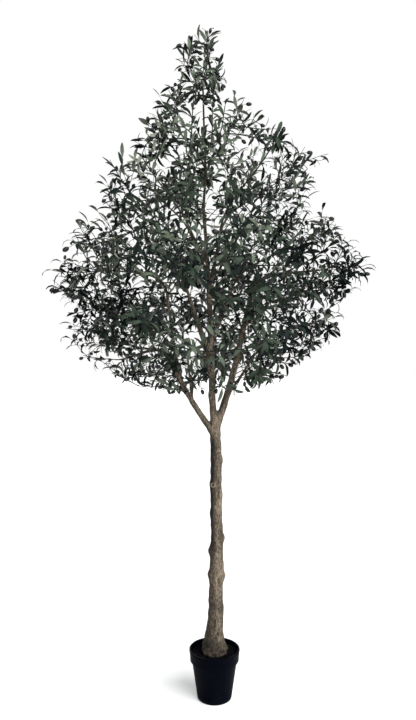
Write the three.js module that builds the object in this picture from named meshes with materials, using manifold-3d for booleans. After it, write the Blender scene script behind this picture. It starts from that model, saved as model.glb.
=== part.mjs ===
// An artificial olive tree, three metres tall, standing in a round black nursery pot.
// Millimetres, +Z up, +X to the right of the viewer, who looks along +Y.
// The origin is the centre of the flat underside of the pot.
import * as THREE from "three";
import { mergeVertices } from "three/addons/utils/BufferGeometryUtils.js";
import Module from "manifold-3d";

const wasm = await Module();
wasm.setup();

const GAP = 0.3; // between neighbouring pieces
const UP = new THREE.Vector3(0, 0, 1);

const POT = {
  height: 217, rimRadius: 113, skirtRadius: 109, shoulderRadius: 101, baseRadius: 77,
  rimBand: 50, chamfer: 5, wall: 3, floor: 6, sides: 24,
};
const FILL_TOP = 200;

// The trunk runs on through the crown as the leader: height, radius, lean along X.
const TRUNK_PROFILE = [
  [FILL_TOP + GAP, 55, -2], [208, 58, -1], [238, 54, -1], [252, 46, -3], [305, 38, 1], [358, 34.5, 6],
  [430, 32, 5], [500, 31, 7], [554, 31, 9], [620, 29, 10], [691, 27.5, 11], [850, 26, 8], [971, 25, 7],
  [1057, 26, 8], [1150, 24.5, 5], [1205, 23, 4], [1245, 19, -1], [1280, 16, -6], [1330, 15, -10],
  [1430, 14.5, -11], [1510, 13, -13], [1640, 12.5, -18], [1800, 12, -23], [1900, 10.5, -29],
  [2050, 8.5, -38], [2190, 6.5, -50], [2330, 5.5, -40], [2520, 4.5, -46], [2745, 3.5, -52],
];
const TRUNK_SIDES = 12;
// Swellings on the bark: height, azimuth in degrees, how far each stands out.
const KNOTS = [
  [400, 0, 5], [538, 0, 8], [556, 180, 7], [661, 180, 8], [711, 0, 5], [953, 200, 6], [1352, 180, 4],
];
const KNOT_SPREAD = 26;

// The outline of the crown: height, reach to the left, reach to the right of the trunk's line.
const CROWN_PROFILE = [
  [1345, 120, 110], [1390, 370, 270], [1470, 540, 360], [1550, 640, 510], [1650, 670, 620],
  [1740, 640, 570], [1840, 800, 710], [1940, 775, 760], [2030, 660, 670], [2130, 590, 610],
  [2240, 480, 500], [2350, 505, 510], [2410, 470, 560], [2480, 370, 455], [2560, 315, 345],
  [2640, 255, 290], [2710, 265, 145], [2780, 110, 100], [2880, 150, 120], [2950, 115, 95], [3006, 50, 60],
];

// Rings of foliage, from the lowest up. Each mass has a heart, the middle of its space, at the ring's
// radius and height. Its bough ends at the tip radius and height, where its own stem takes over. No part
// of a mass is further from its heart than its span, along X, Y or Z. A leaf too big for where it would
// stand is tried at the next of the sizes. The last size is for leaves at the tips of twigs.
const TIERS = {
  low: { heart: [325, 1520], tip: [205, 1530], span: 320, twigs: 6, sizes: [1, 0.75, 0.55], seed: 11 },
  middle: { heart: [440, 1890], tip: [190, 1810], span: 360, twigs: 7, sizes: [1, 0.75, 0.55], seed: 23 },
  high: { heart: [275, 2260], tip: [95, 2085], span: 300, twigs: 6, sizes: [1, 0.75, 0.55], seed: 37 },
  peak: { heart: [155, 2540], span: 230, twigs: 5, sizes: [0.85, 0.6, 0.45], seed: 41 },
  left_top: { heart: [75, 2850], span: 150, twigs: 5, sizes: [0.6, 0.4, 0.3], seed: 59 },
  right_top: { heart: [28, 2880], span: 140, twigs: 6, sizes: [0.6, 0.4, 0.3], seed: 61 },
};

// One row for each mass: name, tier, azimuth in degrees, what its bough or stem grows from, the height
// where it leaves that limb, and its radius there. A mass with no bough grows from the trunk by its stem.
const MASSES = [
  ["left", "low", 195, "trunk", 1172, 15],
  ["front", "low", 264, "trunk", 1385, 6.5],
  ["front_right", "low", 333, "right_middle", 1352, 7],
  ["back_right", "low", 48, "right_middle", 1410, 7],
  ["back_left", "low", 123, "left_low", 1325, 7],
  ["right", "middle", 0, "trunk", 1205, 17],
  ["back_right", "middle", 60, "trunk", 1590, 9],
  ["back_left", "middle", 120, "trunk", 1500, 9.5],
  ["left", "middle", 180, "left_low", 1400, 8.5],
  ["front_left", "middle", 240, "trunk", 1535, 9.5],
  ["front_right", "middle", 300, "trunk", 1630, 8.5],
  ["back_right", "high", 45, "trunk", 1850, 8],
  ["back_left", "high", 135, "trunk", 1900, 7.5],
  ["front_left", "high", 225, "trunk", 1945, 7],
  ["front_right", "high", 315, "trunk", 1820, 8],
  ["back", "peak", 90, "trunk", 2330, 5],
  ["left", "peak", 210, "trunk", 2370, 4.8],
  ["right", "peak", 330, "trunk", 2420, 4.6],
  ["spire", "left_top", 180, "trunk", 2716, 3.6],
  ["spire", "right_top", 0, "trunk", 2745, 3.6],
];

const BOUGH = { sides: 6, steps: 5, taper: 0.62, bow: 0.12 };
const STEM = { sides: 4, steps: 5, tipRadius: 3.6, beyondHeart: 20 };
const TWIG = { sides: 3, steps: 1, baseRadius: 3.3, tipRadius: 2.4 };
const TWIG_TRIES = 120; // places looked at for each twig's tip
// Twigs leave a stem or twig at these shares of its length, which are a stem's rings. A twig is never
// shorter than its shortest, and a sharper turn is worth that much more length.
const FORK = { shares: [0.2, 0.4, 0.6, 0.8], shortest: 60, turnCost: 1.6 };
const LEAF = { length: 135, width: 56, thickness: 4.5, widest: 0.45, droop: 12, root: 0.8 };
const LEAF_SPREAD = 1; // how far a pair stands out, against its twig's direction
const LEAF_ROLL = 1.2; // the most a leaf rolls about its own length, in radians
const LEAF_APART = 22; // between the middle of a full-sized leaf and any other leaf or twig
const LEAF_PAIRS = [[0.97, 0], [0.6, 1]]; // where each pair stands on a twig, and its quarter turns
const OLIVE = { length: 38, width: 28, stands: 0.4 };
const SAMPLE = 10; // between the points that limbs and twigs are tested at
const SPACE_MARGIN = 1.5; // a mass stays this far inside its own space
const TIP_MARGIN = 35; // and a twig's tip this far from its neighbours' spaces
const LIMB_MARGIN = 9; // and this far off every limb

const COLOURS = {
  bark: { color: 0x85786a, roughness: 0.9, metalness: 0 },
  foliage: { color: 0x3d463d, roughness: 0.6, metalness: 0 },
  pot: { color: 0x10131a, roughness: 0.55, metalness: 0 },
  fill: { color: 0x0b0b0d, roughness: 1, metalness: 0 },
};

// A repeatable stream of numbers from 0 to 1.
function seeded(seed) {
  let state = seed * 7919 + 1;
  return () => {
    state = (state * 16807) % 2147483647;
    return state / 2147483647;
  };
}

// A row of a profile table at a height, with straight lines between the rows.
function rowAt(table, height) {
  const above = table.findIndex((row) => row[0] >= height);
  if (above === 0) return table[0];
  if (above < 0) return table[table.length - 1];
  const [low, high] = [table[above - 1], table[above]];
  const share = (height - low[0]) / (high[0] - low[0]);
  return low.map((value, i) => value + (high[i] - value) * share);
}

const trunkPoint = (height) => new THREE.Vector3(rowAt(TRUNK_PROFILE, height)[2], 0, height);

// A unit vector at an azimuth in degrees, and a point out from the trunk's line.
const azimuthVector = (degrees) => {
  const angle = THREE.MathUtils.degToRad(degrees);
  return new THREE.Vector3(Math.cos(angle), Math.sin(angle), 0);
};
const aroundTrunk = (degrees, [radius, height]) =>
  trunkPoint(height).addScaledVector(azimuthVector(degrees), radius);

// Whether a point lies inside the outline of the crown, a margin in from it.
function inCrown(point, margin) {
  if (point.z - margin < CROWN_PROFILE[0][0] || point.z + margin > CROWN_PROFILE.at(-1)[0]) return false;
  const [, left, right] = rowAt(CROWN_PROFILE, point.z);
  const out = point.clone().sub(trunkPoint(point.z));
  const radius = Math.hypot(out.x, out.y);
  const toRight = radius > 0 ? (1 + out.x / radius) / 2 : 0.5;
  return radius + margin <= left + (right - left) * toRight;
}

// A closed body from any closed geometry.
function solid(geometry) {
  const bare = geometry.index ? geometry.toNonIndexed() : geometry.clone();
  bare.deleteAttribute("normal");
  bare.deleteAttribute("uv");
  const merged = mergeVertices(bare, 1e-4);
  const corners = merged.index.array;
  const faces = [];
  for (let i = 0; i < corners.length; i += 3) {
    const [a, b, c] = corners.slice(i, i + 3);
    if (a !== b && b !== c && c !== a) faces.push(a, b, c);
  }
  const mesh = new wasm.Mesh({
    numProp: 3, vertProperties: merged.attributes.position.array, triVerts: new Uint32Array(faces),
  });
  return new wasm.Manifold(mesh);
}

// A named mesh from a body.
function part(name, body, look) {
  const { numVert, numProp, vertProperties, triVerts } = body.getMesh();
  const positions = new Float32Array(numVert * 3);
  for (let i = 0; i < numVert; i++) {
    positions.set(vertProperties.subarray(i * numProp, i * numProp + 3), i * 3);
  }
  const geometry = new THREE.BufferGeometry();
  geometry.setAttribute("position", new THREE.BufferAttribute(positions, 3));
  geometry.setIndex(new THREE.BufferAttribute(triVerts, 1));
  geometry.computeVertexNormals();
  const mesh = new THREE.Mesh(geometry, new THREE.MeshStandardMaterial(look));
  mesh.name = name;
  return mesh;
}

// A round body from half its section, as [radius, height] points that start and end on the axis.
function turned(section, sides) {
  const points = section.map(([radius, height]) => new THREE.Vector2(radius, height));
  return new THREE.LatheGeometry(points, sides).rotateX(Math.PI / 2);
}

// A closed tapering tube along a curve. The radius goes evenly from its foot to its tip.
function tube(curve, footRadius, tipRadius, { sides, steps }) {
  const frames = curve.computeFrenetFrames(steps);
  const positions = [];
  const faces = [];
  for (let i = 0; i <= steps; i++) {
    const centre = curve.getPointAt(i / steps);
    const radius = footRadius + (tipRadius - footRadius) * (i / steps);
    for (let j = 0; j < sides; j++) {
      const angle = (2 * Math.PI * j) / sides;
      const corner = centre.clone()
        .addScaledVector(frames.normals[i], radius * Math.cos(angle))
        .addScaledVector(frames.binormals[i], radius * Math.sin(angle));
      positions.push(...corner);
      const [here, next] = [i * sides + j, i * sides + ((j + 1) % sides)];
      if (i < steps) faces.push(here, next, here + sides, next, next + sides, here + sides);
    }
  }
  const last = steps * sides;
  for (let j = 1; j < sides - 1; j++) {
    faces.push(0, j + 1, j, last, last + j, last + j + 1);
  }
  const geometry = new THREE.BufferGeometry();
  geometry.setAttribute("position", new THREE.Float32BufferAttribute(positions, 3));
  return geometry.setIndex(faces);
}

// The pot: a tapered wall under a deep rim band, open at the top, with a flat floor.
const potInside = (height) => {
  const { baseRadius, shoulderRadius, rimBand, wall } = POT;
  const shoulder = POT.height - rimBand;
  return baseRadius + ((shoulderRadius - baseRadius) * height) / shoulder - wall;
};

function potBody() {
  const { height, rimRadius, skirtRadius, shoulderRadius, baseRadius, rimBand, chamfer, wall, floor } = POT;
  const shoulder = height - rimBand;
  return solid(turned([
    [0, 0], [baseRadius - chamfer, 0], [baseRadius, chamfer], [shoulderRadius, shoulder - chamfer],
    [skirtRadius, shoulder], [rimRadius, height - 2], [rimRadius - 2, height],
    [potInside(height), height], [potInside(floor), floor], [0, floor],
  ], POT.sides));
}

function fillBody() {
  const bottom = POT.floor + GAP;
  return solid(turned([
    [0, bottom], [potInside(bottom) - GAP, bottom], [potInside(FILL_TOP) - GAP, FILL_TOP], [0, FILL_TOP],
  ], POT.sides));
}

// The trunk, made round, then bent to its lean and swollen at its knots. A grown copy cuts what meets it.
function trunkBody(grown = 0) {
  const rings = TRUNK_PROFILE.map(([height, radius]) => [radius + grown, height]);
  const top = TRUNK_PROFILE.at(-1)[0];
  const section = [[0, TRUNK_PROFILE[0][0]], ...rings];
  if (grown) section.push([rings.at(-1)[0], top + grown]);
  section.push([0, top + grown]);
  const geometry = turned(section, TRUNK_SIDES);
  const corner = new THREE.Vector3();
  const position = geometry.attributes.position;
  for (let i = 0; i < position.count; i++) {
    corner.fromBufferAttribute(position, i);
    const radius = Math.hypot(corner.x, corner.y);
    const bulge = radius > 0 ? knotBulge(corner) : 0;
    corner.multiply(new THREE.Vector3(1 + bulge / (radius || 1), 1 + bulge / (radius || 1), 1));
    corner.x += trunkPoint(corner.z).x;
    position.setXYZ(i, corner.x, corner.y, corner.z);
  }
  return solid(geometry);
}

function knotBulge(corner) {
  return KNOTS.reduce((sum, [height, azimuth, bulge]) => {
    const facing = azimuthVector(azimuth).dot(corner) / Math.hypot(corner.x, corner.y);
    const away = (corner.z - height) / KNOT_SPREAD;
    return sum + bulge * Math.max(0, facing) ** 2 * Math.exp(-away * away);
  }, 0);
}

// Where each mass has its heart and, for those with a bough, the bough's tip.
const masses = MASSES.map(([place, tier, azimuth, from, leaves, girth]) => {
  const { heart, tip, span, twigs, sizes, seed } = TIERS[tier];
  return {
    name: `${place}_${tier}`, from, leaves, girth, span, twigs, sizes,
    seed: seed + azimuth,
    heart: aroundTrunk(azimuth, heart),
    tip: tip && aroundTrunk(azimuth, tip),
  };
});

// The limbs that have been made: name, curve, radii, the body, and the body grown by the gap.
const limbs = new Map();

// The point on a limb at a height, found by halving.
function pointOnLimb(name, height) {
  if (name === "trunk") return trunkPoint(height);
  const { curve } = limbs.get(name);
  let [low, high] = [0, 1];
  for (let i = 0; i < 30; i++) {
    const middle = (low + high) / 2;
    if (curve.getPointAt(middle).z < height) low = middle;
    else high = middle;
  }
  return curve.getPointAt(low);
}

// A smooth curve between two points that sets out along one direction and arrives along another.
function bent(from, start, to, end) {
  const pull = from.distanceTo(to) / 3;
  return new THREE.CubicBezierCurve3(
    from, from.clone().addScaledVector(start, pull), to.clone().addScaledVector(end, -pull), to,
  );
}

// A bough leaves wide of the straight line to its tip, then bends up towards it.
function boughCurve({ tip }, foot) {
  const across = tip.clone().sub(foot).normalize();
  const wide = across.clone().setZ(0).normalize();
  const start = across.clone().lerp(wide, BOUGH.bow).normalize();
  return bent(foot, start, tip, across.clone().lerp(UP, BOUGH.bow).normalize());
}

function growBough(mass) {
  const foot = pointOnLimb(mass.from, mass.leaves);
  const curve = boughCurve(mass, foot);
  const tipRadius = mass.girth * BOUGH.taper;
  const build = (grown) => solid(tube(curve, mass.girth + grown, tipRadius + grown, BOUGH));
  const body = build(0).subtract(limbs.get(mass.from).grownBody);
  limbs.set(mass.name, {
    curve, footRadius: mass.girth, tipRadius, body: largest(body), grownBody: build(GAP),
  });
}

// Cutting by a neighbour can leave crumbs. The piece itself is the largest one.
const largest = (body) => body.decompose().reduce((a, b) => (b.volume() > a.volume() ? b : a));

// Whether a point keeps to a mass's space: nearer its own heart than any other, and inside the crown.
function inSpace(point, mass, margin = SPACE_MARGIN, edgeMargin = 0) {
  return inCrown(point, edgeMargin) && masses.every((other) => {
    if (other === mass) return true;
    const across = other.heart.clone().sub(mass.heart);
    const middle = mass.heart.clone().add(other.heart).multiplyScalar(0.5);
    return point.clone().sub(middle).dot(across.normalize()) <= -margin;
  });
}

// Points along each limb's middle, with its radius there, for keeping foliage clear of it.
const limbSamples = [];
function sampleLimbs() {
  const top = TRUNK_PROFILE.at(-1)[0];
  for (let height = 1200; height <= top; height += SAMPLE) {
    limbSamples.push({ at: trunkPoint(height), radius: rowAt(TRUNK_PROFILE, height)[1] });
  }
  for (const { curve, footRadius, tipRadius } of limbs.values()) {
    if (!curve) continue; // the trunk is done
    const count = Math.ceil(curve.getLength() / SAMPLE);
    for (let i = 0; i <= count; i++) {
      const t = i / count;
      limbSamples.push({ at: curve.getPointAt(t), radius: footRadius + (tipRadius - footRadius) * t });
    }
  }
}
const clearOfLimbs = (point, margin = LIMB_MARGIN) =>
  limbSamples.every(({ at, radius }) => point.distanceTo(at) > radius + margin);

// How far a mass's space reaches from its heart along a direction.
function reach(mass, direction) {
  let distance = 0;
  while (inSpace(mass.heart.clone().addScaledVector(direction, distance + SAMPLE), mass)) distance += SAMPLE;
  return distance;
}

// The stem of a mass, from its bough's tip or the trunk, through the heart, to near the far side.
function stemCurve(mass) {
  const from = mass.tip ? mass.tip : trunkPoint(mass.leaves);
  const out = mass.heart.clone().sub(from).normalize();
  const rise = out.clone().lerp(UP, 0.5).normalize();
  const start = mass.tip ? limbs.get(mass.name).curve.getTangentAt(1) : rise;
  const onTip = mass.tip || mass.leaves >= TRUNK_PROFILE.at(-1)[0];
  const foot = onTip ? from.clone().addScaledVector(start, GAP) : from;
  const beyond = Math.max(reach(mass, out) - LEAF.length, STEM.beyondHeart);
  const end = mass.heart.clone().addScaledVector(out, beyond);
  return bent(foot, start, end, end.clone().sub(foot).normalize().lerp(UP, BOUGH.bow).normalize());
}

// A seeded point in a mass's space, far enough in for a twig's tip and the leaf on it, or undefined.
function pointInSpace(mass, random) {
  const offset = [random(), random(), random()].map((share) => (2 * share - 1) * mass.span);
  const point = mass.heart.clone().add(new THREE.Vector3(...offset));
  const edgeMargin = LEAF.length * mass.sizes.at(-1) + TWIG.tipRadius;
  const hasRoom = inSpace(point, mass, TIP_MARGIN, edgeMargin) && clearOfLimbs(point, TIP_MARGIN / 2);
  return hasRoom ? point : undefined;
}

// The tips of a mass's twigs, spread through its space: each is the place furthest from the stem and the
// tips so far, of a number of seeded places.
function twigTips(mass, stem, random) {
  const taken = stem.getSpacedPoints(8);
  const tips = [];
  for (let i = 0; i < mass.twigs; i++) {
    let [best, widest] = [undefined, 0];
    for (let j = 0; j < TWIG_TRIES; j++) {
      const point = pointInSpace(mass, random);
      const room = point ? Math.min(...taken.map((other) => other.distanceTo(point))) : 0;
      if (room > widest) [best, widest] = [point, room];
    }
    if (!best) continue;
    tips.push(best);
    taken.push(best);
  }
  return tips;
}

// A twig runs to its tip from the place on the wood so far that it can leave at a forward angle soonest.
function twigCurves(mass, stem, random) {
  const wood = [stem];
  for (const tip of twigTips(mass, stem, random)) {
    let [best, shortest] = [undefined, Infinity];
    for (const parent of wood) {
      for (const share of FORK.shares) {
        const foot = parent.getPointAt(share);
        const length = foot.distanceTo(tip);
        const forward = tip.clone().sub(foot).normalize().dot(parent.getTangentAt(share));
        const cost = length * (FORK.turnCost - forward);
        if (length > FORK.shortest && cost < shortest) [best, shortest] = [foot, cost];
      }
    }
    const curve = new THREE.LineCurve3(best, tip);
    const points = curve.getSpacedPoints(Math.ceil(curve.getLength() / SAMPLE));
    const clear = points.every((point) => inSpace(point, mass, TWIG.baseRadius) && clearOfLimbs(point));
    if (clear) wood.push(curve);
  }
  return wood.slice(1);
}

// A leaf blade of six faces, flat above and keeled below, its root at the origin and its tip along +X.
function leafGeometry() {
  const { length, width, thickness, widest, droop, root } = LEAF;
  const blade = turned([[0, -root], [1, length * widest], [0, length]], 3)
    .rotateY(Math.PI / 2)
    .rotateX(Math.PI / 2)
    .scale(1, width / Math.sqrt(3), thickness / 1.5);
  const position = blade.attributes.position;
  for (let i = 0; i < position.count; i++) {
    if (position.getX(i) > length * 0.9) position.setZ(i, -droop);
  }
  return blade;
}

// An olive of twenty faces, its stalk end at the origin, hanging along +X.
function oliveGeometry() {
  const { length, width } = OLIVE;
  return new THREE.IcosahedronGeometry(1)
    .scale(length / 2, width / 2, width / 2)
    .translate(length / 2 - 3, 0, 0);
}

const leaf = leafGeometry();
const olive = oliveGeometry();

// A copy of a geometry set at a point, its X along a direction, its Z rolled away from as near up as it goes.
function placed(geometry, point, direction, roll = 0, size = 1) {
  const side = new THREE.Vector3().crossVectors(UP, direction);
  if (side.length() < 0.05) side.set(0, 1, 0);
  side.normalize().applyAxisAngle(direction, roll);
  const normal = new THREE.Vector3().crossVectors(direction, side);
  const frame = new THREE.Matrix4().makeBasis(direction, side, normal).setPosition(point);
  return geometry.clone().scale(size, size, size).applyMatrix4(frame);
}

// Whether a geometry keeps to the mass's space, off the limbs: its corners, and points on its edges.
function fits(geometry, mass) {
  const position = geometry.attributes.position;
  const index = geometry.index;
  const corner = (i) => new THREE.Vector3().fromBufferAttribute(position, index ? index.getX(i) : i);
  const count = index ? index.count : position.count;
  for (let i = 0; i < count; i++) {
    const [here, next] = [corner(i), corner(i % 3 === 2 ? i - 2 : i + 1)];
    if (!inSpace(here, mass)) return false;
    for (const share of [0, 0.25, 0.5, 0.75]) {
      if (!clearOfLimbs(here.clone().lerp(next, share))) return false;
    }
  }
  return true;
}

// Points along the blade of a placed leaf, from a fifth of the way out to its tip.
const bladePoints = (point, direction, size) => [0.2, 0.4, 0.6, 0.8, 1].map((share) =>
  point.clone().addScaledVector(direction, LEAF.length * size * share));

// Leaves stand in opposite pairs along the outer part of a twig, each pair a quarter turn on from the
// last, with one leaf at the tip. A leaf that would lie across another twig or leaf of its mass is left out.
function leavesOn(curve, mass, random, taken) {
  const pieces = [];
  const addLeaf = (point, direction, sizes) => {
    const roll = LEAF_ROLL * (2 * random() - 1);
    for (const size of sizes) {
      const blade = bladePoints(point, direction, size);
      const crosses = taken.some(({ at, twig }) =>
        twig !== curve && blade.some((spot) => at.distanceTo(spot) < LEAF_APART * size));
      const geometry = placed(leaf, point, direction, roll, size);
      if (crosses || !fits(geometry, mass)) continue;
      pieces.push(solid(geometry));
      taken.push(...blade.map((at) => ({ at })));
      return;
    }
  };
  const turn = 2 * Math.PI * random();
  for (const [share, quarterTurns] of LEAF_PAIRS) {
    const point = curve.getPointAt(share);
    const along = curve.getTangentAt(share);
    const side = new THREE.Vector3().crossVectors(along, UP).normalize();
    side.applyAxisAngle(along, turn + (quarterTurns * Math.PI) / 2);
    for (const sign of [1, -1]) {
      const direction = along.clone().addScaledVector(side, sign * LEAF_SPREAD).normalize();
      addLeaf(point, direction, mass.sizes.slice(0, -1));
    }
  }
  const tip = curve.getPointAt(1).addScaledVector(curve.getTangentAt(1), -2);
  addLeaf(tip, curve.getTangentAt(1), mass.sizes);
  return pieces;
}

// An olive hanging from a twig, or nothing where it has no room.
function oliveOn(curve, mass) {
  const hang = curve.getTangentAt(OLIVE.stands).lerp(UP, -0.6).normalize();
  const fruit = placed(olive, curve.getPointAt(OLIVE.stands), hang);
  return fits(fruit, mass) ? [solid(fruit)] : [];
}

function growMass(mass) {
  const random = seeded(mass.seed);
  const stem = stemCurve(mass);
  const footRadius = mass.tip ? limbs.get(mass.name).tipRadius : mass.girth;
  const rough = solid(tube(stem, footRadius, Math.min(footRadius, STEM.tipRadius), STEM));
  let body = mass.tip ? rough : rough.subtract(limbs.get("trunk").grownBody);
  const twigs = twigCurves(mass, stem, random);
  for (const curve of twigs) {
    body = body.add(solid(tube(curve, TWIG.baseRadius, TWIG.tipRadius, TWIG)));
  }
  const shoots = [stem, ...twigs];
  const taken = shoots.flatMap((twig) => twig.getSpacedPoints(12).map((at) => ({ at, twig })));
  const leaves = shoots.flatMap((curve) => leavesOn(curve, mass, random, taken));
  for (const piece of [...leaves, ...oliveOn(twigs[0], mass)]) body = body.add(piece);
  return largest(body);
}

const tree = new THREE.Group();
tree.name = "olive_tree";
tree.add(part("pot", potBody(), COLOURS.pot));
tree.add(part("pot_fill", fillBody(), COLOURS.fill));

limbs.set("trunk", { body: trunkBody(), grownBody: trunkBody(GAP) });
const withBoughs = masses.filter((mass) => mass.tip);
withBoughs.filter(({ from }) => from === "trunk").forEach(growBough);
withBoughs.filter(({ from }) => from !== "trunk").forEach(growBough);
sampleLimbs();
for (const [name, { body }] of limbs) {
  tree.add(part(name === "trunk" ? name : `bough_${name}`, body, COLOURS.bark));
}
for (const mass of masses) {
  tree.add(part(`foliage_${mass.name}`, growMass(mass), COLOURS.foliage));
}

export default tree;
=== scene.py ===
"""The looks of an artificial olive tree, three metres tall, standing in a round black nursery pot.

The growing of the tree is worked out in millimetres, with +Z up, +X to the viewer's right and +Y away from
the viewer, and turned into metres when a mesh is made. The limbs, the stems of the foliage and their first
twigs follow the same tables and the same seeded rule as the solids. The rule then goes on to finer sprays,
which carry leaves and olives of nearly real size.
"""
import math

import bpy
import numpy as np
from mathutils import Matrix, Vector, noise


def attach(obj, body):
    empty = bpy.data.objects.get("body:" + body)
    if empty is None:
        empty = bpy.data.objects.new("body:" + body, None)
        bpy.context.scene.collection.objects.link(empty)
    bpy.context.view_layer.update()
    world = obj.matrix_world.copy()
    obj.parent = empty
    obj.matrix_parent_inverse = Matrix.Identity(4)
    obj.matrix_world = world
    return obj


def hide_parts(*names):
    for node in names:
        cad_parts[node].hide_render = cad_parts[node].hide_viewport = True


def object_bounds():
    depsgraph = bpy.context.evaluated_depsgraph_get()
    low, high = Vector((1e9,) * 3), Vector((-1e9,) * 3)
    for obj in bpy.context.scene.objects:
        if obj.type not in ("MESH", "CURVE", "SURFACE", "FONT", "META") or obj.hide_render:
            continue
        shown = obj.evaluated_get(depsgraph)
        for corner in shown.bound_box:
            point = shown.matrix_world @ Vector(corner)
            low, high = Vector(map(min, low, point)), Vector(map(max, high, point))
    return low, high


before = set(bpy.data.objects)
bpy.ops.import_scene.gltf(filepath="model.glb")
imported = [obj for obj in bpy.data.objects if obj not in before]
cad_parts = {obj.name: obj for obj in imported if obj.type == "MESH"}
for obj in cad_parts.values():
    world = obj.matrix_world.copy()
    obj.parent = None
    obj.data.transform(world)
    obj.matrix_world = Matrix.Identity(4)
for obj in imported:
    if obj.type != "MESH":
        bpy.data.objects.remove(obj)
CAD_BOX = [list(corner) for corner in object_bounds()]

MM = 0.001
UP = np.array([0.0, 0.0, 1.0])

# The photograph's camera, level and 2.75 m off, with its focal length and long side in pixels.
EYE = np.array([-29.0, -2750.0, 1510.0])
FOCAL_LENGTH = 612.5
LONG_SIDE = 720

# The pot and its fill.
POT = {
    "height": 217, "rim_radius": 113, "skirt_radius": 109, "shoulder_radius": 101, "base_radius": 77,
    "rim_band": 50, "wall": 3, "floor": 6, "foot": 4,
}
FILL_TOP = 200

# The trunk runs on through the crown as the leader: height, radius, lean along X.
TRUNK_PROFILE = np.array([
    [200.3, 55, -2], [208, 58, -1], [238, 54, -1], [252, 46, -3], [305, 38, 1], [358, 34.5, 6],
    [430, 32, 5], [500, 31, 7], [554, 31, 9], [620, 29, 10], [691, 27.5, 11], [850, 26, 8], [971, 25, 7],
    [1057, 26, 8], [1150, 24.5, 5], [1205, 23, 4], [1245, 19, -1], [1280, 16, -6], [1330, 15, -10],
    [1430, 14.5, -11], [1510, 13, -13], [1640, 12.5, -18], [1800, 12, -23], [1900, 10.5, -29],
    [2050, 8.5, -38], [2190, 6.5, -50], [2330, 5.5, -40], [2520, 4.5, -46], [2745, 3.5, -52],
])
TRUNK_TOP = TRUNK_PROFILE[-1, 0]
# Swellings on the bark: height, azimuth in degrees, how far each stands out.
KNOTS = [
    (400, 0, 5), (542, 0, 10), (550, 180, 9), (598, 20, 4), (655, 185, 11), (711, 0, 8), (820, 170, 4),
    (905, 10, 4), (953, 200, 6), (1060, 350, 4), (1352, 180, 4),
]
KNOT_SPREAD = 22
# Ring-shaped scars of cut shoots: height, azimuth in degrees, radius.
SCARS = [(953, 238, 9), (1108, 300, 6), (640, 285, 6)]

# The outline of the crown: height, reach to the left, reach to the right of the trunk's line.
CROWN_PROFILE = np.array([
    [1345, 120, 110], [1390, 370, 270], [1470, 540, 360], [1550, 640, 510], [1650, 670, 620],
    [1740, 640, 570], [1840, 800, 710], [1940, 775, 760], [2030, 660, 670], [2130, 590, 610],
    [2240, 480, 500], [2350, 505, 510], [2410, 470, 560], [2480, 370, 455], [2560, 315, 345],
    [2640, 255, 290], [2710, 265, 145], [2780, 110, 100], [2880, 150, 120], [2950, 115, 95], [3006, 50, 60],
])

# Rings of foliage, as in the solids. Sprays is how many sprays of finer shoots fill out each mass.
TIERS = {
    "low": {"heart": (325, 1520), "tip": (205, 1530), "span": 320, "twigs": 6, "size": 0.55, "seed": 11,
            "sprays": 13},
    "middle": {"heart": (440, 1890), "tip": (190, 1810), "span": 360, "twigs": 7, "size": 0.55, "seed": 23,
               "sprays": 21},
    "high": {"heart": (275, 2260), "tip": (95, 2085), "span": 300, "twigs": 6, "size": 0.55, "seed": 37,
             "sprays": 10},
    "peak": {"heart": (155, 2540), "tip": None, "span": 230, "twigs": 5, "size": 0.45, "seed": 41,
             "sprays": 6},
    "left_top": {"heart": (75, 2850), "tip": None, "span": 150, "twigs": 5, "size": 0.3, "seed": 59,
                 "sprays": 6},
    "right_top": {"heart": (28, 2880), "tip": None, "span": 140, "twigs": 6, "size": 0.3, "seed": 61,
                  "sprays": 8},
}

# One row for each mass: name, tier, azimuth in degrees, what its bough or stem grows from, the height
# where it leaves that limb, and its radius there.
MASSES = [
    ("left", "low", 195, "trunk", 1172, 15),
    ("front", "low", 264, "trunk", 1385, 6.5),
    ("front_right", "low", 333, "right_middle", 1352, 7),
    ("back_right", "low", 48, "right_middle", 1410, 7),
    ("back_left", "low", 123, "left_low", 1325, 7),
    ("right", "middle", 0, "trunk", 1205, 17),
    ("back_right", "middle", 60, "trunk", 1590, 9),
    ("back_left", "middle", 120, "trunk", 1500, 9.5),
    ("left", "middle", 180, "left_low", 1400, 8.5),
    ("front_left", "middle", 240, "trunk", 1535, 9.5),
    ("front_right", "middle", 300, "trunk", 1630, 8.5),
    ("back_right", "high", 45, "trunk", 1850, 8),
    ("back_left", "high", 135, "trunk", 1900, 7.5),
    ("front_left", "high", 225, "trunk", 1945, 7),
    ("front_right", "high", 315, "trunk", 1820, 8),
    ("back", "peak", 90, "trunk", 2330, 5),
    ("left", "peak", 210, "trunk", 2370, 4.8),
    ("right", "peak", 330, "trunk", 2420, 4.6),
    ("spire", "left_top", 180, "trunk", 2716, 3.6),
    ("spire", "right_top", 0, "trunk", 2745, 3.6),
]

# From the front the trunk and the two heavy boughs show through: this share of the leaves is left out there.
WOOD_SHOWS = {
    "trunk_top": 1780, "boughs": ("left_low", "right_middle"), "bough_share": 0.7, "margin": 13,
    "share": 0.85,
}

GAP = 0.3
BOUGH = {"taper": 0.62, "bow": 0.12}
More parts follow.
